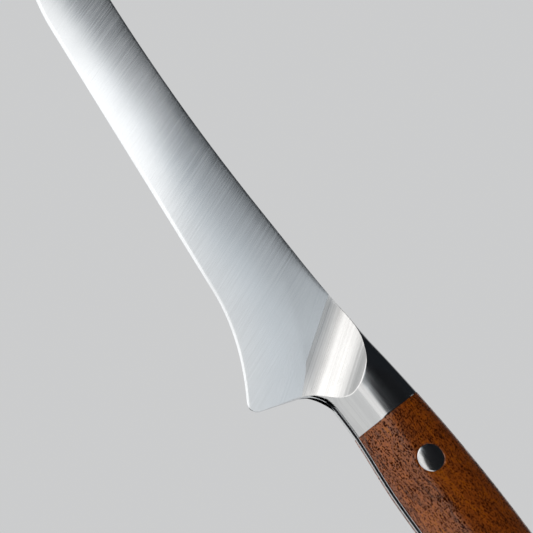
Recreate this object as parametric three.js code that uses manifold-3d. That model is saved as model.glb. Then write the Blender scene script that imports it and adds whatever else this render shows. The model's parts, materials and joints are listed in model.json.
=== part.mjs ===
// Boning knife with a full tang: one ground steel blade and tang, two welded
// bolster cheeks, two wood scales and three two-part cutler's rivets.
// Millimetres. +X runs to the tip, +Z to the spine, +Y to the blade's left side.
// The origin is on the centre plane, where the scales meet the bolster.

import * as THREE from 'three';
import { mergeVertices } from 'three/addons/utils/BufferGeometryUtils.js';
import Module from 'manifold-3d';

const wasm = await Module();
wasm.setup();

// ---------------------------------------------------------------- driving sizes

// Blade
const tipX = 203;                // tip of the blade
const spineZ = 7.7;              // straight part of the spine
const spineBendX = 70;           // the spine sweeps up from here
const spineSweep = 0.00077;      // spine rise = sweep * (x - bend) squared
const edgeMidX = 65;             // a point on the straight middle of the edge
const edgeMidZ = -19;
const edgeSlope = 0.1214;        // rise of the edge towards the tip
const heelEndX = 28;             // the drop to the heel is measured here
const heelStartX = 58;           // the edge starts to drop to the heel here
const heelDrop = 8.3;
const bellyStartX = 149.5;       // the edge starts to sweep up to the tip here
const halfStock = 1.25;          // half the thickness of the steel
const grindZ = 0.0175;           // the blade thins by this per mm towards the edge
const grindX = 0.005;            // and by this per mm towards the tip
const convexFrom = 0.64;         // share of the blade's height that is ground flat
const convexPower = 1.5;         // how the lower part rounds over to the edge
const halfEdge = 0.06;           // half thickness left at the cutting edge
const spineChamfer = 0.18;       // eased corners of the spine

// Heel and choil
const heelTangentX = 26.8;       // where the heel's corner leaves the edge
const heelRadius = 2.8;
const choilX = 9.5;              // centre of the finger notch
const choilZ = -22.8;
const choilRadius = 10;

// Plunge: the hollow that runs from the blade up the bolster
const plungeFootX = 20.4;        // low end of the line where the plunge starts
const plungeFootZ = -20;
const plungeTopX = 37.5;         // high end of that line
const plungeTopZ = 7.5;
const plungeRadius = 28;
const plungeStart = 4;           // degrees at which it leaves the blade's flat
const plungeLead = 3;            // degrees by which its arc starts early, under the flat
const plungeEnd = 62;            // degrees, well clear of the bolster

// Handle outline on the centre plane, and half its thickness
const handleTop = [[60, 7.7], [45, 7.7], [24, 8.3], [0, 10], [-20, 10.8], [-45, 10.7],
  [-75, 8.9], [-100, 4.6], [-121, -1]];
const handleBottom = [[19, -12.8], [9.5, -12.8], [0, -13.1], [-20, -15.3], [-40, -16],
  [-62, -15.3], [-84, -14], [-104, -15.6], [-121, -19.5]];
const handleHalf = [[45, 7.2], [15, 7.6], [0, 7.9], [-20, 8.7], [-50, 9], [-80, 8.5],
  [-121, 9.2]];
const handlePower = 2.4;         // squareness of the handle's section
const buttX = -121;
const buttRound = 8;             // length over which the butt rounds off
const buttPower = 2.5;
const buttTopCut = 8;            // what the rounding takes off the top corner
const buttBottomCut = 5;
const buttSideCut = 3.5;
const bolsterEndX = 42;          // forward end of the bolster's stock

// Rivets
const rivetX = [-16.7, -55, -93];
const rivetDrop = 0.5;           // rivets sit this much below the handle's middle
const headRadius = 4;
const headSeat = 5;              // distance of a head's underside from the centre
const shankRadius = 2.5;
const pinRadius = 1.6;
const shankEnd = 4;              // how far the tube reaches past the centre
const clearance = 0.05;
const pinEndGap = 0.5;           // left at the end of the tube's bore

// Fineness of the facets
const handleStep = 5;
const bladeStep = 4;
const flankPoints = 20;
const buttSteps = 6;
const bolsterSteps = 14;
const plungeSteps = 16;
const arcSteps = 12;
const convexSteps = 4;
const roundSegments = 32;

// -------------------------------------------------------------------- materials

const steel = new THREE.MeshStandardMaterial({ color: 0xb4b7bb, roughness: 0.3, metalness: 1 });
const bolsterSteel = new THREE.MeshStandardMaterial({ color: 0xc2c4c6, roughness: 0.18, metalness: 1 });
const rivetSteel = new THREE.MeshStandardMaterial({ color: 0xc8c9ca, roughness: 0.22, metalness: 1 });
const wood = new THREE.MeshStandardMaterial({ color: 0x8c4a2a, roughness: 0.5, metalness: 0 });

// ---------------------------------------------------------------- curve helpers

// Smooth function of x through points that are listed by falling x.
function curveThrough(points) {
  const slopes = points.map((point, i) => {
    const before = points[Math.max(i - 1, 0)];
    const after = points[Math.min(i + 1, points.length - 1)];
    return (after[1] - before[1]) / (after[0] - before[0]);
  });
  return (x) => {
    let i = 0;
    while (i < points.length - 2 && x < points[i + 1][0]) i += 1;
    const span = points[i + 1][0] - points[i][0];
    const t = (x - points[i][0]) / span;
    const blend = t * t * (3 - 2 * t);
    const leave = t * (1 - t) * (1 - t) * span * slopes[i];
    const arrive = t * t * (1 - t) * span * slopes[i + 1];
    return points[i][1] * (1 - blend) + points[i + 1][1] * blend + leave - arrive;
  };
}

const range = (count) => Array.from({ length: count + 1 }, (_, i) => i / count);
const mix = (from, to, t) => from + (to - from) * t;
const radians = THREE.MathUtils.degToRad;

const handleTopAt = curveThrough(handleTop);
const handleBottomAt = curveThrough(handleBottom);
const handleHalfAt = curveThrough(handleHalf);

// -------------------------------------------------------------- blade's outline

const spineAt = (x) => spineZ + spineSweep * Math.max(0, x - spineBendX) ** 2;
const edgeLine = (x) => edgeMidZ + edgeSlope * (x - edgeMidX);
const tipRise = (spineAt(tipX) - edgeLine(tipX)) / (tipX - bellyStartX) ** 2;

function edgeAt(x) {
  const drop = heelDrop * (Math.max(0, heelStartX - x) / (heelStartX - heelEndX)) ** 2;
  const rise = tipRise * Math.max(0, x - bellyStartX) ** 2;
  return edgeLine(x) - drop + rise;
}

// Half thickness of the blade's ground face: one plane, then a convex edge.
function bladeHalfAt(x, z) {
  const flat = halfStock - grindZ * (spineZ - z) - grindX * (x - plungeTopX);
  const share = (spineAt(x) - z) / (spineAt(x) - edgeAt(x));
  if (share <= convexFrom) return flat;
  const atEdge = halfStock - grindZ * (spineZ - edgeAt(x)) - grindX * (x - plungeTopX);
  const over = (share - convexFrom) / (1 - convexFrom);
  return flat - (atEdge - halfEdge) * over ** convexPower;
}

const heelSlope = edgeAt(heelTangentX + 0.5) - edgeAt(heelTangentX - 0.5);

// Centre of the heel's corner: it touches the edge at heelTangentX.
function heelCentre() {
  const normal = new THREE.Vector2(-heelSlope, 1).normalize();
  return new THREE.Vector2(heelTangentX, edgeAt(heelTangentX)).addScaledVector(normal, heelRadius);
}

// The finger notch and the heel: arc, straight line, arc, all tangent.
function choilOutline() {
  const notch = new THREE.Vector2(choilX, choilZ);
  const heel = heelCentre();
  const lean = Math.asin((choilRadius + heelRadius) / notch.distanceTo(heel));
  const line = Math.atan2(heel.y - notch.y, heel.x - notch.x) - lean;
  const leaveHeel = Math.atan(heelSlope) - Math.PI / 2;
  const onNotch = range(arcSteps).map((t) => mix(Math.PI / 2, line + Math.PI / 2, t));
  const onHeel = range(arcSteps).map((t) => mix(line - Math.PI / 2, leaveHeel, t));
  return [
    ...onNotch.map((a) => [choilX + choilRadius * Math.cos(a), choilZ + choilRadius * Math.sin(a)]),
    ...onHeel.map((a) => [heel.x + heelRadius * Math.cos(a), heel.y + heelRadius * Math.sin(a)]),
  ];
}

// ------------------------------------------------------------- handle's section

// Height of the underside of the bolster's stock, over the finger notch.
function undersideAt(x) {
  if (x <= choilX) return handleBottomAt(x);
  const furthest = 0.95 * choilRadius;
  const across = Math.min(x - choilX, furthest);
  return choilZ + Math.sqrt(choilRadius ** 2 - across ** 2);
}

function sectionAt(x) {
  const inFromButt = Math.min(1, (x - buttX) / buttRound);
  const cut = 1 - (1 - (1 - inFromButt) ** buttPower) ** (1 / buttPower);
  return {
    top: handleTopAt(x) - buttTopCut * cut,
    bottom: undersideAt(x) + buttBottomCut * cut,
    half: handleHalfAt(x) - buttSideCut * cut,
  };
}

// A point of the rounded section: a quarter turn is its top, 0 its side, minus a quarter its bottom.
function flankPoint(section, angle) {
  const power = 2 / handlePower;
  const rise = Math.sign(Math.sin(angle)) * Math.abs(Math.sin(angle)) ** power;
  const out = Math.abs(Math.cos(angle)) ** power;
  const middle = (section.top + section.bottom) / 2;
  return [section.half * out, middle + (section.top - middle) * rise];
}

// The section's left half, cut off flat at the distance inner from the centre plane.
function halfSection(x, inner) {
  const section = sectionAt(x);
  const limit = Math.acos((inner / section.half) ** (handlePower / 2));
  return range(flankPoints).map((t) => {
    const [y, z] = flankPoint(section, mix(limit, -limit, t));
    return new THREE.Vector3(x, t === 0 || t === 1 ? inner : y, z);
  });
}

const buttStations = range(buttSteps).map((t) => buttX + buttRound * (1 - Math.sin(t * Math.PI / 2)));
const handleSteps = Math.round(-(buttX + buttRound) / handleStep);
const handleStations = range(handleSteps).map((t) => (buttX + buttRound) * t)
  .concat(buttStations.slice(1));
const bolsterStations = range(bolsterSteps).map((t) => bolsterEndX * (1 - t));

// ---------------------------------------------------------------- solid helpers

// Triangles that fill a flat ring, turning the same way as the ring does.
function cap(ring) {
  const indices = THREE.ShapeUtils.triangulateShape(ring, []).flat();
  return THREE.ShapeUtils.isClockWise(ring) ? indices.reverse() : indices;
}

// A closed solid through a row of flat closed rings with the same number of points.
function loft(rings) {
  const positions = rings.flat().flatMap((point) => [point.x, point.y, point.z]);
  const size = rings[0].length;
  const indices = [];
  for (let ring = 0; ring < rings.length - 1; ring += 1) {
    for (let i = 0; i < size; i += 1) {
      const a = ring * size + i;
      const b = ring * size + (i + 1) % size;
      indices.push(a, b, b + size, a, b + size, a + size);
    }
  }
  const last = (rings.length - 1) * size;
  const flatRing = (ring) => ring.map((point) => new THREE.Vector2(point.y, point.z));
  indices.push(...cap(flatRing(rings[0])).reverse());
  indices.push(...cap(flatRing(rings[rings.length - 1])).map((i) => i + last));
  const geometry = new THREE.BufferGeometry();
  geometry.setAttribute('position', new THREE.Float32BufferAttribute(positions, 3));
  geometry.setIndex(indices);
  return geometry;
}

function volumeOf(geometry) {
  const position = geometry.getAttribute('position');
  const corners = [0, 1, 2].map(() => new THREE.Vector3());
  let volume = 0;
  for (let i = 0; i < geometry.index.count; i += 3) {
    corners.forEach((corner, j) => corner.fromBufferAttribute(position, geometry.index.getX(i + j)));
    volume += corners[0].dot(corners[1].cross(corners[2])) / 6;
  }
  return volume;
}

// A manifold solid from a closed geometry, whichever way round its faces are.
function solid(geometry) {
  geometry.deleteAttribute('normal');
  geometry.deleteAttribute('uv');
  const merged = mergeVertices(geometry, 1e-5);
  if (volumeOf(merged) < 0) merged.index.array.reverse();
  return new wasm.Manifold(new wasm.Mesh({
    numProp: 3,
    vertProperties: new Float32Array(merged.getAttribute('position').array),
    triVerts: new Uint32Array(merged.index.array),
  }));
}

// A flat outline in X and Z, as wide as y runs from low to high.
function slab(outline, low, high) {
  const shape = new THREE.Shape(outline.map(([x, z]) => new THREE.Vector2(x, z)));
  const geometry = new THREE.ExtrudeGeometry(shape, { depth: high - low, bevelEnabled: false });
  geometry.rotateX(Math.PI / 2);
  geometry.translate(0, high, 0);
  return solid(geometry);
}

// The same solid on the right-hand side.
function mirrored(body) {
  const mesh = body.getMesh();
  const flipped = new THREE.BufferGeometry();
  const positions = Float32Array.from(mesh.vertProperties, (value, i) => (i % 3 === 1 ? -value : value));
  flipped.setAttribute('position', new THREE.BufferAttribute(positions, 3));
  flipped.setIndex([...mesh.triVerts].reverse());
  return solid(flipped);
}

const knife = new THREE.Group();

function addPart(name, body, material) {
  const mesh = body.getMesh();
  const geometry = new THREE.BufferGeometry();
  geometry.setAttribute('position', new THREE.BufferAttribute(mesh.vertProperties, 3));
  geometry.setIndex(new THREE.BufferAttribute(mesh.triVerts, 1));
  geometry.computeVertexNormals();
  const part = new THREE.Mesh(geometry, material);
  part.name = name;
  knife.add(part);
}

// ------------------------------------------------------------------- the plunge

const plungeFoot = new THREE.Vector2(plungeFootX, plungeFootZ);
const plungeAlong = new THREE.Vector2(plungeTopX, plungeTopZ).sub(plungeFoot).normalize();
const plungeBack = new THREE.Vector2(-plungeAlong.y, plungeAlong.x);

// Profile of the hollow: distance behind its start line, and height over the flat.
const plungeArc = range(plungeSteps).map((t) => {
  const angle = radians(mix(plungeStart - plungeLead, plungeEnd, t));
  return [
    plungeRadius * (Math.sin(angle) - Math.sin(radians(plungeStart))),
    plungeRadius * (Math.cos(radians(plungeStart)) - Math.cos(angle)),
  ];
});

// A profile of [distance behind the start line, height] swept along that line,
// sheared so that height 0 is the blade's ground plane.
function alongPlunge(profile) {
  const reach = 70;
  const rings = [-reach, reach].map((along) => profile.map(([back, height]) => {
    const x = plungeFoot.x + plungeAlong.x * along + plungeBack.x * back;
    const z = plungeFoot.y + plungeAlong.y * along + plungeBack.y * back;
    const flat = halfStock - grindZ * (spineZ - z) - grindX * (x - plungeTopX);
    return [x, flat + height, z];
  }));
  const size = profile.length;
  const ends = cap(profile.map(([back, height]) => new THREE.Vector2(back, height)));
  const indices = [];
  for (let i = 0; i < size; i += 1) {
    const next = (i + 1) % size;
    indices.push(i, next, next + size, i, next + size, i + size);
  }
  indices.push(...ends.map((i) => i + size), ...ends.reverse());
  const geometry = new THREE.BufferGeometry();
  geometry.setAttribute('position', new THREE.Float32BufferAttribute(rings.flat(2), 3));
  geometry.setIndex(indices);
  return solid(geometry);
}

const [plungeArcEnd, plungeArcTop] = plungeArc[plungeArc.length - 1];

// Everything that the grinding wheel takes off the left bolster cheek.
function plungeWaste() {
  const above = 60;
  const ahead = -60;
  const under = -0.2;
  const start = -2;
  return alongPlunge([...plungeArc, [plungeArcEnd, above], [ahead, above], [ahead, under],
    [start, under]]);
}

// The left half of the steel behind the start line, before its outline is cut.
function plungeStock() {
  const deep = -4;
  const behind = 190;
  return alongPlunge([[plungeArc[0][0], deep], ...plungeArc, [behind, plungeArcTop],
    [behind, deep]]);
}

// --------------------------------------------------------------- blade and tang

function outline() {
  const spineSteps = Math.round((tipX - bolsterEndX) / bladeStep);
  const edgeSteps = Math.round((tipX - heelTangentX) / bladeStep);
  const spine = range(spineSteps).map((t) => mix(tipX, bolsterEndX, t)).map((x) => [x, spineAt(x)]);
  const back = [...bolsterStations.slice(1), ...handleStations.slice(1)];
  const top = back.map((x) => [x, sectionAt(x).top]);
  const under = [...handleStations].reverse().map((x) => [x, sectionAt(x).bottom]);
  const edge = range(edgeSteps).slice(1, -1).map((t) => mix(heelTangentX, tipX, t));
  return [...spine, ...top, ...under, ...choilOutline(), ...edge.map((x) => [x, edgeAt(x)])];
}

// One cross-section of the ground blade, all round.
function bladeRing(x) {
  const top = spineAt(x);
  const height = top - edgeAt(x);
  const shares = [0.3, ...range(convexSteps).map((t) => mix(convexFrom, 1, t))];
  const side = shares.map((share) => {
    const z = top - height * share;
    return [bladeHalfAt(x, z), z];
  });
  const topHalf = bladeHalfAt(x, top);
  const chamfer = Math.min(spineChamfer, height / 4);
  const left = [[topHalf - chamfer, top], [topHalf, top - chamfer], ...side];
  const right = left.map(([y, z]) => [-y, z]).reverse();
  return [...left, ...right].map(([y, z]) => new THREE.Vector3(x, y, z));
}

function groundBlade() {
  const startX = 8;              // inside the bolster's stock
  const lastX = tipX - 0.4;      // leaves a small flat at the very tip
  const steps = Math.round((lastX - startX) / bladeStep);
  return solid(loft(range(steps).map((t) => bladeRing(mix(startX, lastX, t)))));
}

// The steel between the scales and the cheeks, with the hollow started on it.
function tangStock() {
  const reach = 220;
  const square = [[-reach, reach], [-reach, -reach], [reach, -reach], [reach, reach]];
  const pastMiddle = -0.4;
  const left = plungeStock().intersect(slab(square, pastMiddle, 2 * halfStock));
  return left.add(mirrored(left));
}

function bladeAndTang() {
  const through = 2 * halfStock;
  let body = groundBlade().add(tangStock()).intersect(slab(outline(), -halfStock, halfStock));
  rivetX.forEach((x) => {
    body = body.subtract(pinAt(x, shankRadius + clearance, -through, through));
  });
  return body;
}

// ------------------------------------------------------------ scales and cheeks

const rivetZ = (x) => (sectionAt(x).top + sectionAt(x).bottom) / 2 - rivetDrop;

// A round bar across the handle at a rivet's place.
function pinAt(x, radius, low, high) {
  const geometry = new THREE.CylinderGeometry(radius, radius, high - low, roundSegments);
  geometry.translate(x, (low + high) / 2, rivetZ(x));
  return solid(geometry);
}

function leftScale() {
  let body = solid(loft(handleStations.map((x) => halfSection(x, halfStock))));
  const outside = 20;
  rivetX.forEach((x) => {
    body = body.subtract(pinAt(x, shankRadius + clearance, 0, headSeat));
    body = body.subtract(pinAt(x, headRadius + clearance, headSeat - clearance, outside));
  });
  return body;
}

function leftCheek() {
  const stock = solid(loft(bolsterStations.map((x) => halfSection(x, halfStock))));
  return stock.subtract(plungeWaste());
}

// ----------------------------------------------------------------------- rivets

// The whole handle, used to trim the rivet heads flush.
function handleBody() {
  const rings = handleStations.map((x) => {
    const left = halfSection(x, 0);
    const right = left.slice(1, -1).reverse().map((point) => new THREE.Vector3(x, -point.y, point.z));
    return [...left, ...right];
  });
  return solid(loft(rings));
}

function turned(x, profile) {
  const points = profile.map(([radius, y]) => new THREE.Vector2(radius, y));
  const geometry = new THREE.LatheGeometry(points, roundSegments);
  geometry.translate(x, 0, rivetZ(x));
  return solid(geometry);
}

const headTop = 15;              // before the head is ground flush

// Pin half: its head shows on the left side.
function rivetPin(x) {
  return turned(x, [[0, headTop], [headRadius, headTop], [headRadius, headSeat],
    [pinRadius, headSeat], [pinRadius, -shankEnd], [0, -shankEnd]]);
}

// Tube half: its head shows on the right side.
function rivetTube(x) {
  const bore = pinRadius + clearance;
  const boreEnd = -shankEnd - pinEndGap;
  return turned(x, [[0, -headTop], [headRadius, -headTop], [headRadius, -headSeat],
    [shankRadius, -headSeat], [shankRadius, shankEnd], [bore, shankEnd], [bore, boreEnd], [0, boreEnd]]);
}

// --------------------------------------------------------------------- assembly

addPart('blade_and_tang', bladeAndTang(), steel);

const cheek = leftCheek();
addPart('bolster_left', cheek, bolsterSteel);
addPart('bolster_right', mirrored(cheek), bolsterSteel);

const scale = leftScale();
addPart('scale_left', scale, wood);
addPart('scale_right', mirrored(scale), wood);

const trim = handleBody();
rivetX.forEach((x, i) => {
  addPart(`rivet_pin_${i + 1}`, rivetPin(x).intersect(trim), rivetSteel);
  addPart(`rivet_tube_${i + 1}`, rivetTube(x).intersect(trim), rivetSteel);
});

export default knife;
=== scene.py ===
"""Boning knife: the fine Blender model and its studio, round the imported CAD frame."""
import json
import math

import bmesh
import bpy
from mathutils import Matrix, Vector


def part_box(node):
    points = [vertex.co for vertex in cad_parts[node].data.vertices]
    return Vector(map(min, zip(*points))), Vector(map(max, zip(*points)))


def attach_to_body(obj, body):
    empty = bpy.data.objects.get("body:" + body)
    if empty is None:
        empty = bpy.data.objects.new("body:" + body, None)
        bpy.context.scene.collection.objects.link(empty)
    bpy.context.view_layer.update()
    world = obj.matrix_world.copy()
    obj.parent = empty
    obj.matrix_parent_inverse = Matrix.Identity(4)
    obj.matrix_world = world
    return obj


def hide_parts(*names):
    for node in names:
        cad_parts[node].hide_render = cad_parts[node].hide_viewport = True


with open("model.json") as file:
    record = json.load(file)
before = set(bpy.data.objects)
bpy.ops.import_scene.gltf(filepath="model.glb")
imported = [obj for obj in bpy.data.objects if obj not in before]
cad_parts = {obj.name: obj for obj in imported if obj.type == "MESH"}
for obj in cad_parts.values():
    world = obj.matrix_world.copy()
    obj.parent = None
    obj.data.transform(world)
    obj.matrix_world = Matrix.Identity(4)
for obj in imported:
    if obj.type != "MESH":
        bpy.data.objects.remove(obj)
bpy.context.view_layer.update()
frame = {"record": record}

MM = 0.001

# ------------------------------------------------------------ sizes, in millimetres
# The CAD model's driving sizes, but for the hollow's radius and rounded start, the domed
# rivet heads and the eased corners. +X is the tip, +Z the spine, +Y the left.

BOX_MARGIN = 0.003               # the wood stays this far inside the CAD model's box

STEEL_LOW, STEEL_HIGH = (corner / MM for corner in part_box("blade_and_tang"))
CHEEK_LOW, CHEEK_HIGH = (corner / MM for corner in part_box("bolster_left"))
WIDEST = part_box("scale_left")[1].y / MM - BOX_MARGIN

TIP_X = STEEL_HIGH.x
BUTT_X = STEEL_LOW.x
HALF_STOCK = CHEEK_LOW.y

SPINE_Z = 7.7
SPINE_BEND_X = 70
SPINE_SWEEP = 0.00077
EDGE_MID = (65, -19)
EDGE_SLOPE = 0.1214
EDGE_END_X = 203
HEEL_END_X = 28
HEEL_START_X = 58
HEEL_DROP = 8.3
BELLY_START_X = 149.5
GRIND_Z = 0.0175
GRIND_X = 0.005
GRIND_FROM_X = 37.5
SIDE_TILTS = [(1, 6.6), (0.9, 5.9), (0.75, 4.6), (0.6, 3.0), (0.45, 1.7), (0.3, 0.9),
              (0.18, 0.3), (0.08, -1.0), (0, -2.8)]   # share of the blade's height from the spine, degrees
BEHIND_EDGE = 0.15               # half thickness behind the sharpened bevel
BEVEL_HEIGHT = 0.5
HALF_EDGE = 0.012

HEEL_TANGENT_X = 26.8
HEEL_RADIUS = 2.8
CHOIL = (9.5, -22.8)
CHOIL_RADIUS = 10

PLUNGE_FOOT = Vector((20.4, -20))
PLUNGE_TOP = Vector((37.5, 7.5))
PLUNGE_RADIUS = 25.5
PLUNGE_START = math.radians(4)
PLUNGE_SOFT = 4                  # the hollow's start is rounded over twice this distance

HANDLE_TOP = [(60, 7.7), (45, 7.7), (24, 8.3), (0, 10), (-20, 10.8), (-45, 10.7),
              (-75, 8.9), (-100, 4.6), (-121, -1)]
HANDLE_BOTTOM = [(19, -12.8), (9.5, -12.8), (0, -13.1), (-20, -15.3), (-40, -16),
                 (-62, -15.3), (-84, -14), (-104, -15.6), (-121, -19.5)]
HANDLE_HALF = [(45, 7.2), (15, 7.6), (0, 7.9), (-20, 8.7), (-50, 9), (-80, 8.5),
               (-121, 9.2)]
HANDLE_POWER = 2.4
BUTT_ROUND = 8
BUTT_POWER = 2.5
BUTT_CUTS = (8, 5, 3.5)          # off the top corner, the bottom corner and each side

RIVET_X = (-16.7, -55, -93)
RIVET_DROP = 0.5
HEAD_RADIUS = 4
HEAD_EASE = 0.08                 # eased rim of a head
HEAD_SEAT = 5
HEAD_DOME = 0.2                  # a rivet head's middle stands this proud of the wood
SHANK_RADIUS = 2.5
PIN_RADIUS = 1.6
SHANK_END = 4
PIN_GAP = 0.5
CLEARANCE = 0.05

EASE = 0.16                      # radius of the eased corners of spine and choil
SEAM = 0.04                      # and of the tang where it meets the wood and the cheeks
SCALE_EASE = 0.12                # eased front corner of the wood
EASE_SHARE = 0.3                 # where the point within an eased corner lies
HEAD_GAP = 0.012                 # between a rivet head and its seat in the wood
SUPPORT = 0.05                   # a row this close to an eased corner keeps the flat beside it flat


# ------------------------------------------------------------------ curve helpers

def mix(low, high, t):
    return low + (high - low) * t


def smooth(t):
    t = min(1, max(0, t))
    return t * t * (3 - 2 * t)


def steps(count):
    return [i / count for i in range(count + 1)]


def solve(function, low, high):
    """The place between low and high where function changes sign, by halving."""
    rising = function(high) > function(low)
    for _ in range(40):
        middle = (low + high) / 2
        if (function(middle) > 0) == rising:
            high = middle
        else:
            low = middle
    return (low + high) / 2


def curve_through(points):
    """A smooth function of x through points that are listed by falling x."""
    slopes = []
    for i in range(len(points)):
        before = points[max(i - 1, 0)]
        after = points[min(i + 1, len(points) - 1)]
        slopes.append((after[1] - before[1]) / (after[0] - before[0]))

    def at(x):
        i = 0
        while i < len(points) - 2 and x < points[i + 1][0]:
            i += 1
        span = points[i + 1][0] - points[i][0]
        t = (x - points[i][0]) / span
        leave = t * (1 - t) ** 2 * span * slopes[i]
        arrive = t * t * (1 - t) * span * slopes[i + 1]
        blend = t * t * (3 - 2 * t)
        return mix(points[i][1], points[i + 1][1], blend) + leave - arrive
    return at


handle_top = curve_through(HANDLE_TOP)
handle_bottom = curve_through(HANDLE_BOTTOM)
handle_half = curve_through(HANDLE_HALF)


# ------------------------------------------------------------------ blade's shape

def spine_z(x):
    return SPINE_Z + SPINE_SWEEP * max(0, x - SPINE_BEND_X) ** 2


def edge_line(x):
    return EDGE_MID[1] + EDGE_SLOPE * (x - EDGE_MID[0])


TIP_RISE = (spine_z(EDGE_END_X) - edge_line(EDGE_END_X)) / (EDGE_END_X - BELLY_START_X) ** 2


def edge_z(x):
    drop = HEEL_DROP * (max(0, HEEL_START_X - x) / (HEEL_START_X - HEEL_END_X)) ** 2
    return edge_line(x) - drop + TIP_RISE * max(0, x - BELLY_START_X) ** 2


def top_z(x):
    return handle_top(x) if x < HANDLE_TOP[0][0] else spine_z(x)


def flat_y(x, z):
    return HALF_STOCK - GRIND_Z * (SPINE_Z - z) - GRIND_X * (x - GRIND_FROM_X)


def fallen_shares():
    """The share of the blade's thinning that has happened at each step down its side."""
    tilt = curve_through(SIDE_TILTS)
    count = 200
    fallen = [0.0]
    for i in range(count):
        fallen.append(fallen[-1] + math.tan(math.radians(tilt((i + 0.5) / count))))
    return [value / fallen[-1] for value in fallen]


FALLEN = fallen_shares()


def blade_y(x, z):
    """Half thickness of the ground blade, bowed out a little from spine to edge."""
    top = flat_y(x, spine_z(x))
    height = max(spine_z(x) - edge_z(x), 1e-6)
    place = min(max(0, (spine_z(x) - z) / height), 1) * (len(FALLEN) - 1)
    i = min(int(place), len(FALLEN) - 2)
    fallen = mix(FALLEN[i], FALLEN[i + 1], place - i)
    side = top - (top - BEHIND_EDGE) * fallen
    bevel = HALF_EDGE + (BEHIND_EDGE - HALF_EDGE) * max(0, z - edge_z(x)) / BEVEL_HEIGHT
    return min(side, bevel)


ALONG = (PLUNGE_TOP - PLUNGE_FOOT).normalized()
BACK = Vector((-ALONG.y, ALONG.x))


def plunge_place(along, back):
    """The point (x, z) at a distance along the plunge's start line and behind it."""
    return PLUNGE_FOOT + ALONG * along + BACK * back


def plunge_y(x, z):
    """Half thickness where the hollow of the plunge rises from the blade."""
    back = (Vector((x, z)) - PLUNGE_FOOT).dot(BACK)
    ground = min(HALF_STOCK, blade_y(x, z))
    if back <= 0:
        return ground
    sine = back / PLUNGE_RADIUS + math.sin(PLUNGE_START)
    if sine >= 1:
        return 2 * PLUNGE_RADIUS
    rise = PLUNGE_RADIUS * (math.cos(PLUNGE_START) - math.sqrt(1 - sine * sine))
    soft = min(back, 2 * PLUNGE_SOFT)
    return ground + rise - math.tan(PLUNGE_START) * (soft - soft * soft / (4 * PLUNGE_SOFT))


def feather_point(along):
    """Where the hollow leaves the blade's stock, at a place along the plunge."""
    def over(back):
        place = plunge_place(along, back)
        return plunge_y(*place) - HALF_STOCK
    if over(0) >= 0:
        return plunge_place(along, 0)
    return plunge_place(along, solve(over, 0, PLUNGE_RADIUS / 2))


# ----------------------------------------------------------------- handle's shape

def underside_z(x):
    if x <= CHOIL[0]:
        return handle_bottom(x)
    across = min(x - CHOIL[0], 0.95 * CHOIL_RADIUS)
    return CHOIL[1] + math.sqrt(CHOIL_RADIUS ** 2 - across ** 2)


def section(x):
    """Top, bottom and half width of the handle and bolster at x."""
    inside = min(1, (x - BUTT_X) / BUTT_ROUND)
    cut = 1 - (1 - (1 - inside) ** BUTT_POWER) ** (1 / BUTT_POWER)
    half = min(handle_half(x), WIDEST) - BUTT_CUTS[2] * cut
    return handle_top(x) - BUTT_CUTS[0] * cut, underside_z(x) + BUTT_CUTS[1] * cut, half


def crown_z(x, y, side):
    """Height of the rounded section at a distance y from the middle, at top or bottom."""
    top, bottom, half = section(x)
    reach = (1 - (abs(y) / half) ** HANDLE_POWER) ** (1 / HANDLE_POWER)
    return (top + bottom) / 2 + side * (top - bottom) / 2 * reach


def side_y(x, z):
    """Half width of the rounded section at a height z."""
    top, bottom, half = section(x)
    reach = min(1, abs(z - (top + bottom) / 2) / ((top - bottom) / 2))
    return half * (1 - reach ** HANDLE_POWER) ** (1 / HANDLE_POWER)


def flank_point(x, down):
    """A point on the left of the section: down is 0 at the tang's top, 1 at its bottom."""
    top, bottom, half = section(x)
    limit = math.acos((HALF_STOCK / half) ** (HANDLE_POWER / 2))
    angle = mix(limit, -limit, down)
    power = 2 / HANDLE_POWER
    rise = math.copysign(abs(math.sin(angle)) ** power, angle)
    y = half * math.cos(angle) ** power
    if down in (0, 1):
        y = HALF_STOCK
    return Vector((x, y, (top + bottom) / 2 + (top - bottom) / 2 * rise))


# ------------------------------------------------------------------ mesh building

class Shell:
    """Collects points in millimetres and faces, and turns them into a closed piece."""

    def __init__(self):
        self.points = []
        self.faces = []
        self.second = set()      # numbers of the faces that take the second material

    def row(self, points):
        start = len(self.points)
        self.points.extend(Vector(point) for point in points)
        return list(range(start, len(self.points)))

    def strip(self, first, second, closed=False):
        count = len(first) if closed else len(first) - 1
        for i in range(count):
            j = (i + 1) % len(first)
            self.faces.append((first[i], first[j], second[j], second[i]))

    def surface(self, rows, closed=False, second=False):
        start = len(self.faces)
        for above, below in zip(rows, rows[1:]):
            self.strip(above, below, closed)
        if second:
            self.second.update(range(start, len(self.faces)))

    def piece(self, name, slot, *materials, sharp=30):
        mesh = bpy.data.meshes.new(name)
        mesh.from_pydata([point * MM for point in self.points], [], self.faces)
        for i in self.second:
            mesh.polygons[i].material_index = 1
        build = bmesh.new()
        build.from_mesh(mesh)
        bmesh.ops.remove_doubles(build, verts=build.verts, dist=1e-4 * MM)
        bmesh.ops.dissolve_degenerate(build, edges=build.edges, dist=1e-5 * MM)
        bmesh.ops.recalc_face_normals(build, faces=build.faces)
        build.to_mesh(mesh)
        build.free()
        mesh.shade_smooth()
        mesh.set_sharp_from_angle(angle=math.radians(sharp))
        for material in materials:
            mesh.materials.append(material)
        piece = bpy.data.objects.new(name, mesh)
        bpy.context.scene.collection.objects.link(piece)
        return piece


def mirror(shell):
    """The same shell on the right-hand side."""
    other = Shell()
    other.points = [Vector((point.x, -point.y, point.z)) for point in shell.points]
    other.faces = [tuple(reversed(face)) for face in shell.faces]
    other.second = set(shell.second)
    return other


def attach(piece, *nodes):
    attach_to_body(piece, "root")
    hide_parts(*nodes)


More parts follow.
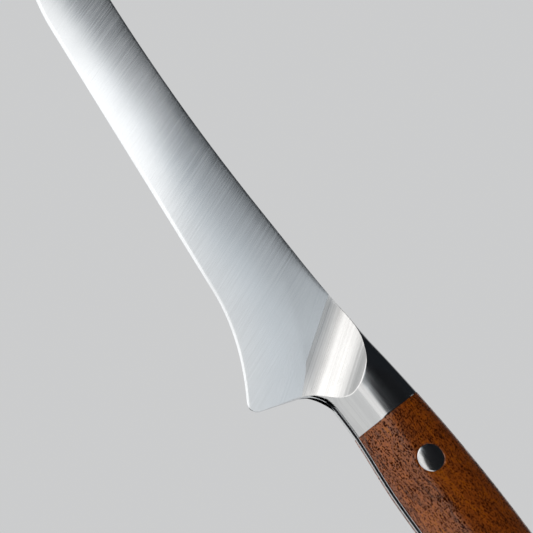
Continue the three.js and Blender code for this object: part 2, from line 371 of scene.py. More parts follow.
def drill(piece, cutters):
    """Cuts the closed cutters out of a piece."""
    for i, cutter in enumerate(cutters):
        modifier = piece.modifiers.new(f"drill_{i}", "BOOLEAN")
        modifier.operation = "DIFFERENCE"
        modifier.solver = "EXACT"
        modifier.object = cutter
    bpy.context.view_layer.update()
    graph = bpy.context.evaluated_depsgraph_get()
    mesh = bpy.data.meshes.new_from_object(piece.evaluated_get(graph))
    piece.modifiers.clear()
    piece.data = mesh
    for cutter in cutters:
        bpy.data.objects.remove(cutter)


# ---------------------------------------------------------------- outline's paths

HEEL_SLOPE = edge_z(HEEL_TANGENT_X + 0.5) - edge_z(HEEL_TANGENT_X - 0.5)
NOTCH = Vector(CHOIL)
HEEL = (Vector((HEEL_TANGENT_X, edge_z(HEEL_TANGENT_X)))
        + Vector((-HEEL_SLOPE, 1)).normalized() * HEEL_RADIUS)
CHOIL_LINE = (math.atan2(HEEL.y - NOTCH.y, HEEL.x - NOTCH.x)
              - math.asin((CHOIL_RADIUS + HEEL_RADIUS) / (HEEL - NOTCH).length))
QUARTER = math.pi / 2


def on_circle(centre, radius, angle):
    return centre + Vector((math.cos(angle), math.sin(angle))) * radius


def choil_path(s):
    """Along the underside from the notch's top: the notch to 1, a straight line to 2, the heel to 3."""
    if s <= 1:
        return on_circle(NOTCH, CHOIL_RADIUS, mix(QUARTER, CHOIL_LINE + QUARTER, s))
    if s <= 2:
        start = on_circle(NOTCH, CHOIL_RADIUS, CHOIL_LINE + QUARTER)
        return start.lerp(on_circle(HEEL, HEEL_RADIUS, CHOIL_LINE - QUARTER), s - 1)
    return on_circle(HEEL, HEEL_RADIUS, mix(CHOIL_LINE - QUARTER, math.atan(HEEL_SLOPE) - QUARTER, s - 2))


def behind_start(place):
    return (place - PLUNGE_FOOT).dot(BACK)


def top_place(x):
    return Vector((x, top_z(x)))


def over_stock(place):
    """How far the hollow is above the stock's flat side; 0 is the feather line."""
    return plunge_y(*place) - HALF_STOCK


START_TOP_X = solve(lambda x: behind_start(top_place(x)), 20, 60)
START_LOW = solve(lambda s: behind_start(choil_path(s)), 1, 2)
FEATHER_TOP_X = solve(lambda x: over_stock(top_place(x)), 10, START_TOP_X)
FEATHER_LOW = solve(lambda s: over_stock(choil_path(s)), 0.2, START_LOW)


# ----------------------------------------------------------------- blade and tang

BLADE_COLUMNS = 110
HEEL_COLUMNS = 26                # of them from the plunge to the end of the heel's corner
HEEL_SPREAD = 9                  # the spine's length that those take
LEAN_LENGTH = 60                 # the columns come upright within this length
HOLLOW_COLUMNS = 14
ROWS = 44
EASE_STEPS = 3
CHEEK_COLUMNS = 12               # of the tang between the feather line and the notch
TANG_COLUMNS = 60
EDGE_CROWDING = 1.35             # powers above 1 bring rows or columns closer at the far end
TIP_CROWDING = 1.15
BUTT_CROWDING = 1.5


def row_shares():
    """Shares from the top to the bottom of a column, close together at the edge."""
    return [1 - (1 - t) ** EDGE_CROWDING for t in steps(ROWS)]


def blade_columns():
    """Pairs of places on the spine and on the edge, from the plunge to the tip. The columns
    lean at the plunge and stand upright past the heel, without crossing."""
    columns = []
    end = TIP_X - 0.05
    for i in range(BLADE_COLUMNS + 1):
        if i <= HEEL_COLUMNS:
            t = i / HEEL_COLUMNS
            low = choil_path(mix(START_LOW, 3, t))
            x = START_TOP_X + HEEL_SPREAD * t
        else:
            t = (i - HEEL_COLUMNS) / (BLADE_COLUMNS - HEEL_COLUMNS)
            low_x = mix(HEEL_TANGENT_X, end, 1 - (1 - t) ** TIP_CROWDING)
            low = Vector((low_x, edge_z(low_x)))
            lean = START_TOP_X + HEEL_SPREAD - HEEL_TANGENT_X
            x = low_x + lean * (1 - smooth((low_x - HEEL_TANGENT_X) / LEAN_LENGTH))
        columns.append((top_place(x), low))
    end = TIP_X - 0.01
    tip = Vector((end, mix(edge_z(end), spine_z(end), 0.6)))
    columns[-1] = (tip, tip)
    return columns


def crown_drop(x, y, side):
    """How much lower than its middle the rounded handle is at a distance y from it."""
    if x > HANDLE_TOP[0][0]:
        return 0
    x = min(x, CHEEK_HIGH.x)
    top, bottom, _ = section(x)
    middle = top if side > 0 else bottom
    return abs(middle - crown_z(x, y, side))


def steel_half(places, high_ease, low_ease, half_at, crowned=0):
    """One side of a column through its places: the middle of its top, down to its bottom."""
    down = (places[-1] - places[0])
    reach = down.length
    down = down.normalized() if reach > 1e-6 else Vector((0, -1))
    upper = []
    lower = []
    for ease, end, out, side in ((high_ease, places[0], upper, 1), (low_ease, places[-1], lower, -1)):
        flat = half_at(end.x, end.y)
        ease = min(ease, reach / 4, flat * 0.6)
        out.append((0, 0))
        for k in range(EASE_STEPS + 1):
            angle = QUARTER * k / EASE_STEPS
            out.append((flat - ease * (1 - math.sin(angle)), ease * (1 - math.cos(angle))))
        for i, (y, inset) in enumerate(out):
            out[i] = (y, inset + crowned * crown_drop(end.x, y, side))
    points = []
    for y, inset in upper:
        place = places[0] + down * inset
        points.append(Vector((place.x, y, place.y)))
    support = min(SUPPORT, reach / 50)
    first = upper[-1][1] + support
    last = lower[-1][1] + support
    place = places[0] + down * first
    points.append(Vector((place.x, half_at(place.x, place.y), place.y)))
    for place in places[1:-1]:
        share = (place - places[0]).length / max(reach, 1e-9)
        moved = place + down * (first * (1 - share) - last * share)
        points.append(Vector((moved.x, half_at(moved.x, moved.y), moved.y)))
    place = places[-1] - down * last
    points.append(Vector((place.x, half_at(place.x, place.y), place.y)))
    for y, inset in reversed(lower):
        place = places[-1] - down * inset
        points.append(Vector((place.x, y, place.y)))
    return points


def steel_ring(shell, left):
    right = [Vector((point.x, -point.y, point.z)) for point in reversed(left[1:-1])]
    return shell.row(left + right)


def steel_y(x, z):
    """Half thickness of the steel: the blade, the start of the hollow, or the flat stock."""
    return min(HALF_STOCK, plunge_y(x, z))


def blade_and_tang():
    shell = Shell()
    shares = row_shares()
    rings = []
    start = [top_place(START_TOP_X).lerp(choil_path(START_LOW), share) for share in shares]
    feather_ends = (top_place(FEATHER_TOP_X), choil_path(FEATHER_LOW))
    feather = []
    for share in shares:
        guess = feather_ends[0].lerp(feather_ends[1], share)
        feather.append(feather_point((guess - PLUNGE_FOOT).dot(ALONG)))
    feather[0], feather[-1] = feather_ends

    for i, (high, low) in reversed(list(enumerate(blade_columns()))):
        sharp = smooth((i - 0.5 * HEEL_COLUMNS) / (0.5 * HEEL_COLUMNS))
        places = start if i == 0 else [high.lerp(low, share) for share in shares]
        left = steel_half(places, EASE, EASE * (1 - sharp), steel_y)
        rings.append(steel_ring(shell, left))

    for k in range(1, HOLLOW_COLUMNS + 1):
        t = k / HOLLOW_COLUMNS
        places = [a.lerp(b, t) for a, b in zip(start, feather)]
        places[0] = top_place(places[0].x)
        places[-1] = choil_path(mix(START_LOW, FEATHER_LOW, t))
        ease = mix(EASE, SEAM, smooth(t))
        rings.append(steel_ring(shell, steel_half(places, ease, ease, steel_y, smooth(t))))

    tang_ring = len(rings) - 1
    for t in steps(CHEEK_COLUMNS)[1:]:
        high = top_place(mix(FEATHER_TOP_X, CHOIL[0], t))
        low = choil_path(FEATHER_LOW * (1 - t))
        places = [high.lerp(low, share) for share in shares]
        bent = [a.lerp(b, t) for a, b in zip(feather, places)]
        bent[0], bent[-1] = high, low
        rings.append(steel_ring(shell, steel_half(bent, SEAM, SEAM, lambda x, z: HALF_STOCK, 1)))

    for t in steps(TANG_COLUMNS)[1:]:
        x = CHOIL[0] + (BUTT_X - CHOIL[0]) * (1 - (1 - t) ** BUTT_CROWDING)
        top, bottom, _ = section(x)
        places = [Vector((x, mix(top, bottom, share))) for share in shares]
        rings.append(steel_ring(shell, steel_half(places, SEAM, SEAM, lambda x, z: HALF_STOCK, 1)))

    shell.surface(rings[:tang_ring + 1], closed=True)
    shell.surface(rings[tang_ring:], closed=True, second=True)
    shell.second.add(len(shell.faces))
    shell.faces.append(tuple(rings[-1]))
    return shell


# ---------------------------------------------------------------- bolster's cheeks

RIDGE = 0.12                     # half width of the eased ridge
RIM = 0.14                       # eased corner of the bolster against the wood
FLANK_ROWS = 72
FLANK_COLUMNS = 44
PATCH_COLUMNS = 26
SEAM_CROWDING = 0.06
RIDGE_ROUND = 0.45               # how far the eased ridge reaches towards the sharp one


def flank_share(t):
    """Spreads the rows of a flank so that they are closer together near its two seams."""
    return t - SEAM_CROWDING * math.sin(2 * math.pi * t)


def ridge_x(down):
    """Where the hollow cuts the rounded flank."""
    def over(x):
        point = flank_point(x, down)
        return plunge_y(point.x, point.z) - point.y
    return solve(over, 2, START_TOP_X)


def cheek():
    shell = Shell()
    fronts, flanks, patches, inners = [], [], [], []
    for t in steps(FLANK_ROWS):
        down = flank_share(t)
        end = ridge_x(down)
        outer = flank_point(0, down)
        width = outer.y - HALF_STOCK
        rim = min(RIM, width / 3)
        flank = [Vector((0, outer.y - rim, outer.z))]
        flank += [Vector((rim * EASE_SHARE, outer.y - rim * EASE_SHARE, outer.z))]
        ridge = flank_point(end, down)
        feather = feather_point((Vector((ridge.x, ridge.z)) - PLUNGE_FOOT).dot(ALONG))
        if t in (0, 1):
            feather = Vector((ridge.x, ridge.z))
        span = Vector((ridge.x, ridge.z)) - feather
        ease = min(RIDGE, span.length / 3)
        for u in steps(FLANK_COLUMNS):
            x = mix(rim, end - ease, u)
            flank.append(flank_point(x, down))
        patch = []
        reach = span.length
        for u in steps(PATCH_COLUMNS):
            place = feather + span * (1 - ease / max(reach, 1e-9)) * (1 - u)
            y = HALF_STOCK if u == 1 else max(HALF_STOCK, plunge_y(*place))
            patch.append(Vector((place.x, y, place.y)))
        if t in (0, 1):
            patch = [ridge.copy() for _ in patch]
        middle = (flank[-1] + patch[0]) / 2
        flank.append(middle.lerp(ridge, RIDGE_ROUND))
        flank_row = shell.row(flank)
        patch_row = shell.row(patch)
        inner_row = shell.row([Vector((point.x, HALF_STOCK, point.z)) for point in flank + patch])
        fronts.append((inner_row[0], flank_row[0]))
        flanks.append(flank_row + patch_row[:1])
        patches.append(patch_row)
        inners.append(inner_row)
    shell.surface(flanks)
    shell.surface(patches, second=True)
    shell.surface(inners)
    shell.surface(fronts)
    return shell


# ---------------------------------------------------------------------- the scales

SCALE_COLUMNS = 110
BUTT_COLUMNS = 16


def scale_stations():
    flat_end = BUTT_X + BUTT_ROUND
    stations = [0, -EASE_SHARE * SCALE_EASE, -SCALE_EASE]
    stations += [mix(-SCALE_EASE, flat_end, t) for t in steps(SCALE_COLUMNS)[1:]]
    stations += [BUTT_X + BUTT_ROUND * (1 - math.sin(QUARTER * t)) for t in steps(BUTT_COLUMNS)[1:]]
    return stations


def scale():
    shell = Shell()
    rings = []
    for i, x in enumerate(scale_stations()):
        cut = (SCALE_EASE, SCALE_EASE * EASE_SHARE, 0)[i] if i < 3 else 0
        outer = []
        for t in steps(FLANK_ROWS):
            point = flank_point(x, flank_share(t))
            point.y = max(HALF_STOCK, point.y - min(cut, (point.y - HALF_STOCK) / 3))
            outer.append(point)
        first, last = outer[0], outer[-1]
        inner = [last.lerp(first, u) for u in steps(FLANK_ROWS)[1:-1]]
        rings.append(shell.row(outer + inner))
    shell.surface(rings, closed=True)
    for ring, turn in ((rings[0], 1), (rings[-1], -1)):
        size = FLANK_ROWS
        outer = ring[:size + 1]
        inner = [ring[0]] + list(reversed(ring[size + 1:])) + [ring[size]]
        for i in range(size):
            shell.faces.append((outer[i], outer[i + 1], inner[i + 1], inner[i])[::turn])
    return shell


# ---------------------------------------------------------------------- the rivets

ROUND = 64
DOME_RINGS = 14
DOME_CENTRE = 0.002              # radius of the small face in a head's middle


def rivet_z(x):
    top, bottom, _ = section(x)
    return (top + bottom) / 2 - RIVET_DROP


def dome_height(x):
    """A head may not stand out past the CAD model's box."""
    room = WIDEST - handle_half(x)
    return max(0, min(HEAD_DOME, room))


def head_y(centre_x, x, z):
    across = ((x - centre_x) ** 2 + (z - rivet_z(centre_x)) ** 2) / HEAD_RADIUS ** 2
    return min(WIDEST, side_y(x, z) + dome_height(centre_x) * (1 - across))


def circle(centre_x, radius, height):
    """A ring across the handle; height is a number or a function of x and z."""
    points = []
    for i in range(ROUND):
        angle = 2 * math.pi * i / ROUND
        x = centre_x + radius * math.cos(angle)
        z = rivet_z(centre_x) + radius * math.sin(angle)
        points.append((x, height(x, z) if callable(height) else height, z))
    return points


def rivet(centre_x, profile):
    """A turned rivet half: the domed head, then the shank's rings as (radius, y)."""
    shell = Shell()

    def dome(x, z):
        return head_y(centre_x, x, z)

    def rim(x, z):
        return head_y(centre_x, x, z) - HEAD_EASE

    rings = [shell.row(circle(centre_x, DOME_CENTRE, dome))]
    for t in steps(DOME_RINGS)[1:]:
        rings.append(shell.row(circle(centre_x, (HEAD_RADIUS - HEAD_EASE) * t, dome)))
    rings.append(shell.row(circle(centre_x, HEAD_RADIUS - EASE_SHARE * HEAD_EASE,
                                  lambda x, z: head_y(centre_x, x, z) - EASE_SHARE * HEAD_EASE)))
    rings.append(shell.row(circle(centre_x, HEAD_RADIUS, rim)))
    for radius, y in profile:
        rings.append(shell.row(circle(centre_x, radius, y)))
    shell.surface(rings, closed=True)
    shell.faces.append(tuple(reversed(rings[0])))
    shell.faces.append(tuple(rings[-1]))
    return shell


def bar(centre_x, radius, low, high):
    """A closed cylinder across the handle, used as a cutter."""
    shell = Shell()
    first = shell.row(circle(centre_x, radius, low))
    second = shell.row(circle(centre_x, radius, high))
    shell.strip(first, second, closed=True)
    shell.faces.append(tuple(first))
    shell.faces.append(tuple(reversed(second)))
    return shell


# ------------------------------------------------------------------ node helpers

class Nodes:
    """Short ways to add the nodes of one material or of the world."""

    def __init__(self, tree):
        self.tree = tree
        tree.nodes.clear()

    def add(self, kind, inputs=None, **settings):
        node = self.tree.nodes.new(kind)
        for name, value in settings.items():
            setattr(node, name, value)
        for name, value in (inputs or {}).items():
            self.feed(node.inputs[name], value)
        return node

    def feed(self, socket, value):
        if isinstance(value, bpy.types.NodeSocket):
            self.tree.links.new(value, socket)
        elif isinstance(value, tuple) and len(value) == 3 and socket.type == "RGBA":
            socket.default_value = (*value, 1)
        else:
            socket.default_value = value

    def math(self, operation, *values, clamp=False):
        node = self.tree.nodes.new("ShaderNodeMath")
        node.operation = operation
        node.use_clamp = clamp
        for socket, value in zip(node.inputs, values):
            self.feed(socket, value)
        return node.outputs[0]

    def dot(self, vector, direction):
        node = self.tree.nodes.new("ShaderNodeVectorMath")
        node.operation = "DOT_PRODUCT"
        self.feed(node.inputs[0], vector)
        self.feed(node.inputs[1], direction)
        return node.outputs["Value"]

    def vector(self, x, y, z):
        return self.add("ShaderNodeCombineXYZ", {"X": x, "Y": y, "Z": z}).outputs[0]

    def span(self, value, low, high, to_low=0.0, to_high=1.0, smooth_ends=True):
        """Maps value from low..high to to_low..to_high, held at the ends."""
        kind = "SMOOTHSTEP" if smooth_ends else "LINEAR"
        inputs = {"Value": value, "From Min": low, "From Max": high, "To Min": to_low, "To Max": to_high}
        return self.add("ShaderNodeMapRange", inputs, interpolation_type=kind).outputs[0]

    def noise(self, vector, scale, detail=2.0, roughness=0.5, distortion=0.0):
        inputs = {"Vector": vector, "Scale": scale, "Detail": detail, "Roughness": roughness,
                  "Distortion": distortion}
        return self.add("ShaderNodeTexNoise", inputs).outputs[0]

    def blend(self, share, first, second):
        """Mixes two colours; share 0 gives the first."""
        node = self.tree.nodes.new("ShaderNodeMix")
        node.data_type = "RGBA"
        self.feed(node.inputs[0], share)
        self.feed(node.inputs[6], first)
        self.feed(node.inputs[7], second)
        return node.outputs[2]

    def ramp(self, value, stops):
        node = self.add("ShaderNodeValToRGB", {"Fac": value})
        elements = node.color_ramp.elements
        while len(elements) < len(stops):
            elements.new(0.5)
        for element, (place, colour) in zip(elements, stops):
            element.position = place
            element.color = (*colour, 1)
        return node.outputs[0]

    def bump(self, height, distance):
        inputs = {"Height": height, "Distance": distance, "Strength": 1.0}
        return self.add("ShaderNodeBump", inputs).outputs[0]

    def place(self):
        """The place on the piece, in millimetres."""
        here = self.add("ShaderNodeTexCoord").outputs["Object"]
        node = self.add("ShaderNodeVectorMath", operation="SCALE")
        self.feed(node.inputs[0], here)
        node.inputs["Scale"].default_value = 1 / MM
        return node.outputs[0]


def new_material(name):
    material = bpy.data.materials.new(name)
    material.use_nodes = True
    return material, Nodes(material.node_tree)


def finish_material(nodes, inputs):
    shader = nodes.add("ShaderNodeBsdfPrincipled", inputs)
    output = nodes.add("ShaderNodeOutputMaterial")
    nodes.tree.links.new(shader.outputs[0], output.inputs[0])


def slot_colour(slot):
    """The base colour that the record gives a material slot."""
    for row in frame["record"]["materials"]:
        if row["slot"] == slot:
            return tuple(row["base_color"])
    raise KeyError(slot)


def scaled(colour, factor):
    return tuple(channel * factor for channel in colour)


def toned(colour, factors):
    """The colour with a factor of its own for each channel."""
    return tuple(channel * factor for channel, factor in zip(colour, factors))


# ------------------------------------------------------------------ the materials

LINE_LENGTH = 150.0              # of a ground line, in its own widths
PLUNGE_MARK_WIDTH = 0.8
WOOD_BASE = (0.86, 0.58, 0.22)   # factors on the record's wood colour, and the next three on the result
WOOD_DARK = (0.3, 0.22, 0.2)
WOOD_LIGHT = (1.4, 1.45, 1.2)
WOOD_GOLD = (1.8, 2.3, 1.4)
FIGURE = (26, 4.5)               # length and width in mm of each of the wood's patterns
STREAKS = (9, 0.45)
MOTTLE = (1.0, 0.5)
PORES = [(0.95, 0.31, 0.26, 0.62), (0.65, 0.26, 0.2, 0.6)]   # length, width, least and most size


def brushed_steel(name, slot, line, *, fine, coarse, share, tint, rough, rough_change,
                  lines_depth, anisotropy, plunge_marks=0.0, painted_start_shade=0.0):
    """Steel with fine lines along a direction: fine and coarse are the lines' widths in mm,
    share is how much the coarse ones show, and tint is how much the colour changes.
    plunge_marks adds lines along the plunge, and painted_start_shade paints shade over the hollow's start
    by darkening its colour, and roughens it."""
    material, nodes = new_material(name)
    place = nodes.place()
    depth = nodes.dot(place, (0, 1, 0))

    def lines(line, width):
        across = Vector((-line.z, 0, line.x))
        stretched = nodes.vector(
            nodes.math("MULTIPLY", nodes.dot(place, tuple(line)), 1 / (width * LINE_LENGTH)),
            nodes.math("MULTIPLY", nodes.dot(place, tuple(across)), 1 / width),
            nodes.math("MULTIPLY", depth, 0.3 / width))
        return nodes.noise(stretched, 1.0, 2.0, 0.6)

    cloud = nodes.noise(place, 0.07, 3.0, 0.55)
    mixed = nodes.math("ADD", nodes.math("MULTIPLY", lines(line, fine), 1 - share),
                       nodes.math("MULTIPLY", lines(line, coarse), share))
    back = nodes.math("SUBTRACT", nodes.dot(place, (BACK.x, 0, BACK.y)), PLUNGE_FOOT.dot(BACK))
    if plunge_marks:
        marks = nodes.math("SUBTRACT", lines(plunge_line, PLUNGE_MARK_WIDTH), 0.5)
        marks = nodes.math("MULTIPLY_ADD", marks, plunge_marks, 0.5)
        near = nodes.span(back, -8.0, -2.0)
        mixed = nodes.add("ShaderNodeMix", {0: near, 2: mixed, 3: marks}).outputs[0]
    base = slot_colour(slot)
    colour = nodes.blend(nodes.span(mixed, 0.35, 0.65), scaled(base, 1 - tint), scaled(base, 1 + tint))
    colour = nodes.blend(nodes.span(cloud, 0.4, 0.7, 0.0, 0.12), colour, scaled(base, 0.9))
    uneven = nodes.math("ADD", nodes.math("MULTIPLY", mixed, 0.7), nodes.math("MULTIPLY", cloud, 0.3))
    roughness = nodes.span(uneven, 0.35, 0.65, rough, rough + rough_change)
    # painted shade: the hollow's start is blended towards black, a darker colour standing in for a dimmer
    # reflection; the extra roughness is real
    if painted_start_shade:
        start_shade_share = nodes.span(back, 3.5, 8.0, painted_start_shade, 0.0)
        colour = nodes.blend(start_shade_share, colour, (0.0, 0.0, 0.0))
        roughness = nodes.math("ADD", roughness, nodes.math("MULTIPLY", start_shade_share, 0.5))
    finish_material(nodes, {
        "Base Color": colour,
        "Metallic": 1.0,
        "Roughness": roughness,
        "Anisotropic": anisotropy,
        "Tangent": nodes.vector(*line),
        "Normal": nodes.bump(mixed, lines_depth * MM),
    })
    return material


def wood_material(name, shift):
    """Oiled reddish wood: streaks along the grain, short dark pores, a satin finish."""
    material, nodes = new_material(name)
    place = nodes.place()
    place = nodes.add("ShaderNodeVectorMath", {0: place, 1: (shift, 0, 0)}, operation="ADD").outputs[0]
    bend = nodes.noise(place, 0.035, 2.0, 0.5)
    bent = nodes.add("ShaderNodeVectorMath", {0: nodes.vector(0.0, nodes.math("MULTIPLY", bend, 5.0),
                     nodes.math("MULTIPLY", bend, 9.0)), 1: place}, operation="ADD").outputs[0]

    def stretched(long, wide):
        return nodes.add("ShaderNodeVectorMath", {0: bent, 1: (1 / long, 1 / wide, 1 / wide)},
                         operation="MULTIPLY").outputs[0]

    figure = nodes.noise(stretched(*FIGURE), 1.0, 4.0, 0.6, 0.4)
    streaks = nodes.noise(stretched(*STREAKS), 1.0, 3.0, 0.65, 0.3)
    mottle = nodes.noise(stretched(*MOTTLE), 1.0, 3.0, 0.6, 0.5)
    base = toned(slot_colour("handle_wood"), WOOD_BASE)
    dark, light, gold = (toned(base, factors) for factors in (WOOD_DARK, WOOD_LIGHT, WOOD_GOLD))
    tone = nodes.math("ADD", nodes.math("MULTIPLY", figure, 0.3), nodes.math("MULTIPLY", streaks, 0.4))
    tone = nodes.math("ADD", tone, nodes.math("MULTIPLY", mottle, 0.3))
    colour = nodes.ramp(tone, [(0.4, dark), (0.48, base), (0.54, light), (0.59, gold)])

    crowd = nodes.span(figure, 0.3, 0.7, 0.05, -0.05)

    def pores(long, wide, least, most):
        cell = nodes.add("ShaderNodeTexVoronoi", {"Vector": stretched(long, wide), "Scale": 1.0,
                         "Randomness": 1.0})
        pick = nodes.add("ShaderNodeSeparateColor", {"Color": cell.outputs["Color"]}).outputs[0]
        size = nodes.span(pick, 0.25, 1.0, least, most, smooth_ends=False)
        edge = nodes.math("SUBTRACT", nodes.math("ADD", size, crowd), cell.outputs["Distance"])
        return nodes.span(edge, 0.0, 0.15)

    flecks = nodes.math("MAXIMUM", *(pores(*kind) for kind in PORES))
    shiny = nodes.math("SUBTRACT", 1.0, flecks)
    colour = nodes.blend(nodes.math("MULTIPLY", flecks, 0.9), colour, scaled(dark, 0.2))
    roughness = nodes.span(tone, 0.35, 0.65, 0.34, 0.26)
    roughness = nodes.math("ADD", roughness, nodes.math("MULTIPLY", flecks, 0.2), clamp=True)
    height = nodes.math("SUBTRACT", nodes.math("MULTIPLY", streaks, 0.25), flecks)
    finish_material(nodes, {
        "Base Color": colour,
        "Roughness": roughness,
        "IOR": 1.6,
        "Specular IOR Level": nodes.math("MULTIPLY", shiny, 0.45),
        "Specular Tint": (1.0, 0.58, 0.25),
        "Coat Weight": shiny,
        "Coat Roughness": 0.2,
        "Coat IOR": 1.55,
        "Normal": nodes.bump(height, 0.035 * MM),
    })
    return material


def floor_material():
    material, nodes = new_material("floor_paper")
    place = nodes.add("ShaderNodeTexCoord").outputs["Object"]
    tone = nodes.noise(place, 3.0, 4.0, 0.55)
    colour = nodes.blend(nodes.span(tone, 0.3, 0.7), *FLOOR_COLOURS)
    finish_material(nodes, {
        "Base Color": colour,
        "Emission Color": colour,
        "Emission Strength": FLOOR_GLOW,
        "Roughness": nodes.span(tone, 0.3, 0.7, 0.75, 0.9),
        "Normal": nodes.bump(nodes.noise(place, 900.0, 2.0), 0.05 * MM),
    })
    return material


# ---------------------------------------------------------------------- assembling

blade_line = Vector((0.36, 0, 0.933)).normalized()
plunge_line = Vector((ALONG.x, 0, ALONG.y))
length_line = Vector((1, 0, 0))

blade_steel = brushed_steel(
    "blade_steel", "blade_steel", blade_line, fine=0.3, coarse=0.9, share=0.25, tint=0.045,
    rough=0.18, rough_change=0.05, lines_depth=0.0005, anisotropy=0.3, plunge_marks=2.0)
tang_steel = brushed_steel(
    "tang_polished", "blade_steel", length_line, fine=0.25, coarse=1.0, share=0.4, tint=0.05,
    rough=0.1, rough_change=0.05, lines_depth=0.0005, anisotropy=0.1)
bolster_steel = brushed_steel(
    "bolster_polished", "bolster_steel", length_line, fine=0.25, coarse=1.0, share=0.4, tint=0.05,
    rough=0.12, rough_change=0.06, lines_depth=0.0005, anisotropy=0.1)
# the hollow, with painted shade darkening the colour of its start
hollow_steel = brushed_steel(
    "bolster_satin", "bolster_steel", plunge_line, fine=0.45, coarse=1.6, share=0.5, tint=0.17,
    rough=0.2, rough_change=0.1, lines_depth=0.0025, anisotropy=0.3, painted_start_shade=0.1)
rivet_steel = brushed_steel(
    "rivet_steel", "rivet_steel", length_line, fine=0.2, coarse=0.6, share=0.4, tint=0.05,
    rough=0.11, rough_change=0.05, lines_depth=0.0004, anisotropy=0.1)

steel = blade_and_tang().piece("steel_blade_and_tang", "blade_steel", blade_steel, tang_steel)
drill(steel, [bar(x, SHANK_RADIUS + CLEARANCE, -2 * HALF_STOCK, 2 * HALF_STOCK)
              .piece(f"tang_hole_{i}", "blade_steel", blade_steel) for i, x in enumerate(RIVET_X)])
attach(steel, "blade_and_tang")

left_cheek = cheek()
for side, shell in (("left", left_cheek), ("right", mirror(left_cheek))):
    piece = shell.piece(f"cheek_{side}", "bolster_steel", bolster_steel, hollow_steel)
    attach(piece, f"bolster_{side}")

left_scale = scale()
for side, shell, turn, shift in (("left", left_scale, 1, 0.0), ("right", mirror(left_scale), -1, 230.0)):
    wood = wood_material(f"handle_wood_{side}", shift)
    piece = shell.piece(f"wood_scale_{side}", "handle_wood", wood)
    cutters = []
    for i, x in enumerate(RIVET_X):
        shank = bar(x, SHANK_RADIUS + CLEARANCE, 0, turn * (HEAD_SEAT + 1))
        head = bar(x, HEAD_RADIUS + HEAD_GAP, turn * (HEAD_SEAT - CLEARANCE), turn * 3 * HEAD_SEAT)
        cutters.append(shank.piece(f"shank_hole_{side}_{i}", "handle_wood", wood))
        cutters.append(head.piece(f"head_seat_{side}_{i}", "handle_wood", wood))
    drill(piece, cutters)
    attach(piece, f"scale_{side}")

for i, x in enumerate(RIVET_X, 1):
    pin = rivet(x, [(HEAD_RADIUS, HEAD_SEAT), (PIN_RADIUS, HEAD_SEAT), (PIN_RADIUS, -SHANK_END)])
    attach(pin.piece(f"rivet_pin_half_{i}", "rivet_steel", rivet_steel), f"rivet_pin_{i}")
    bore = PIN_RADIUS + CLEARANCE
    tube = rivet(x, [(HEAD_RADIUS, HEAD_SEAT), (SHANK_RADIUS, HEAD_SEAT), (SHANK_RADIUS, -SHANK_END),
                     (bore, -SHANK_END), (bore, SHANK_END + PIN_GAP)])
    attach(mirror(tube).piece(f"rivet_tube_half_{i}", "rivet_steel", rivet_steel), f"rivet_tube_{i}")


# ---------------------------------------------------------------------- the studio

FLOOR_Z = -0.25
FLOOR_SIZE = 30.0
FLOOR_COLOURS = ((0.68, 0.68, 0.67), (0.71, 0.71, 0.705))
FLOOR_GLOW = 0.62
FLOOR_CARD_X = (-0.16, 0.07)
FLOOR_CARD_Y = (-0.2, -0.8)
FLOOR_CARD_Z = -0.2
FRONT_CARD_Y = 0.15              # the card over the handle, as (x, z) in its plane
FRONT_CARD = [(-0.35, 0), (-0.035, 0.011), (-0.012, 0.015), (-0.001, 0.026), (0.0115, 0.0313),
              (0.0198, 0.0504), (0.026, 0.075), (0.03, 0.12), (0.03, 0.6), (-0.35, 0.6)]
SOFTBOX_PLACE = (0.282, 0.3, -0.061)
SOFTBOX_SIZE = (0.335, 0.3)
SOFTBOX_TURN = 24
SOFTBOX_BRIGHTNESS = 0.75
SOFTBOX_COLOUR = (1.0, 0.965, 0.93)
CARD_COLOURS = ((0.008, 0.009, 0.011), (0.014, 0.015, 0.018))
SKY_FRONT = (1.0, 1.0, 0.99)
SKY_BACK = (0.60, 0.605, 0.61)
SKY_PALE = (0.92, 0.965, 0.995)
SKY_BLUE = (0.67, 0.745, 0.81)
SKY_DARK = (0.012, 0.014, 0.017)
# A plane through the middle of the sky: its normal, and the heights over it between which
# the look changes.
FRONT_PLANE = ((0, 1, 0), -0.3, 0.3)
PALE_PLANE = ((-0.33, -0.235, 1), -0.02, 0.03)
BLUE_PLANE = ((1, -0.2, 0), -0.12, 0.1)
CEILING_PLANES = [((3.4, -0.89, 1), -0.02, 0.02), ((0.22, -0.485, 1), -0.04, 0.07),
                  ((0.3, 0, 1), 0.0, 0.08), ((0, 1.2, 1), 0.0, 0.3)]
CAMERA_PLACE = Vector((0, 0.40446, -0.19927))
CAMERA_AIM = Vector((0.0549, 0, -0.0017))
CAMERA_ROLL = 128.4
CAMERA_LENS = 106.0


def add_floor():
    mesh = bpy.data.meshes.new("floor")
    build = bmesh.new()
    bmesh.ops.create_grid(build, x_segments=8, y_segments=8, size=FLOOR_SIZE / 2)
    build.to_mesh(mesh)
    build.free()
    mesh.materials.append(floor_material())
    floor = bpy.data.objects.new("floor", mesh)
    floor.location = (0, 0, FLOOR_Z)
    bpy.context.scene.collection.objects.link(floor)


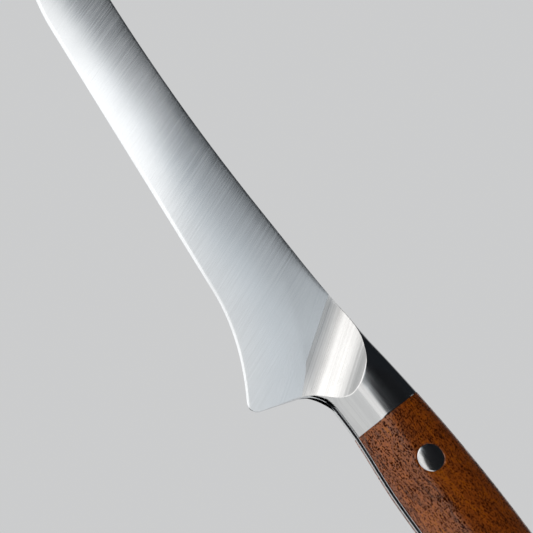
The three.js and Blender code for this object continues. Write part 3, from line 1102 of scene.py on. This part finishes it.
def add_sky():
    """A soft white studio all round, with a dark ceiling over the knife's left side."""
    world = bpy.data.worlds.new("studio")
    bpy.context.scene.world = world
    world.use_nodes = True
    nodes = Nodes(world.node_tree)
    look = nodes.add("ShaderNodeTexCoord").outputs["Generated"]

    def above(plane):
        normal, low, high = plane
        return nodes.span(nodes.dot(look, tuple(Vector(normal).normalized())), low, high)

    front = above(FRONT_PLANE)
    low = nodes.blend(front, SKY_BACK, SKY_FRONT)
    pale = nodes.blend(above(BLUE_PLANE), SKY_PALE, SKY_BLUE)
    low = nodes.blend(nodes.math("MULTIPLY", above(PALE_PLANE), front), low, pale)
    ceiling = above(CEILING_PLANES[0])
    for plane in CEILING_PLANES[1:]:
        ceiling = nodes.math("MULTIPLY", ceiling, above(plane))
    colour = nodes.blend(ceiling, low, SKY_DARK)
    background = nodes.add("ShaderNodeBackground", {"Color": colour, "Strength": 1.0})
    output = nodes.add("ShaderNodeOutputWorld")
    nodes.tree.links.new(background.outputs[0], output.inputs[0])


def add_card(name, points, shades):
    """A black card near the knife, out of the camera's sight, which its steel reflects.
    One that shades also keeps light off the wood."""
    mesh = bpy.data.meshes.new(name)
    mesh.from_pydata(points, [], [tuple(range(len(points)))])
    material, nodes = new_material(f"{name}_paper")
    tone = nodes.noise(nodes.place(), 0.02, 3.0, 0.5)
    finish_material(nodes, {
        "Base Color": nodes.blend(tone, *CARD_COLOURS),
        "Roughness": 0.9,
        "Specular IOR Level": 0.1,
    })
    mesh.materials.append(material)
    card = bpy.data.objects.new(name, mesh)
    card.visible_camera = False
    card.visible_diffuse = shades
    card.visible_shadow = shades
    bpy.context.scene.collection.objects.link(card)


def add_cards():
    left, right = FLOOR_CARD_X
    near, far = FLOOR_CARD_Y
    add_card("floor_card", [(left, near, FLOOR_CARD_Z), (right, near, FLOOR_CARD_Z),
                            (right, far, FLOOR_CARD_Z), (left, far, FLOOR_CARD_Z)], shades=False)
    add_card("front_card", [(x, FRONT_CARD_Y, z) for x, z in FRONT_CARD], shades=True)


def add_softbox():
    """A bright panel in front of the left side, which gives the blade its light band."""
    data = bpy.data.lights.new("softbox", "AREA")
    data.shape = "RECTANGLE"
    data.size = SOFTBOX_SIZE[0]
    data.size_y = SOFTBOX_SIZE[1]
    data.energy = SOFTBOX_BRIGHTNESS * math.pi * data.size * data.size_y
    data.color = SOFTBOX_COLOUR
    softbox = bpy.data.objects.new("softbox", data)
    softbox.location = SOFTBOX_PLACE
    softbox.rotation_euler = (math.radians(-90), math.radians(SOFTBOX_TURN), 0)
    softbox.visible_camera = False
    bpy.context.scene.collection.objects.link(softbox)


def add_camera():
    data = bpy.data.cameras.new("camera")
    data.lens = CAMERA_LENS
    data.sensor_width = 36.0
    data.clip_start = 0.01
    data.clip_end = 100.0
    camera = bpy.data.objects.new("camera", data)
    ahead = (CAMERA_AIM - CAMERA_PLACE).normalized()
    length = Vector((1, 0, 0))
    length = (length - ahead * length.dot(ahead)).normalized()
    height = length.cross(ahead)
    if height.z < 0:
        height = -height
    turn = math.radians(CAMERA_ROLL)
    right = math.cos(turn) * length + math.sin(turn) * height
    up = math.sin(turn) * length - math.cos(turn) * height
    turned = Matrix((right, up, -ahead)).transposed().to_4x4()
    camera.matrix_world = Matrix.Translation(CAMERA_PLACE) @ turned
    bpy.context.scene.collection.objects.link(camera)
    bpy.context.scene.camera = camera


add_floor()
add_sky()
add_cards()
add_softbox()
add_camera()
bpy.context.scene.view_settings.view_transform = "Standard"
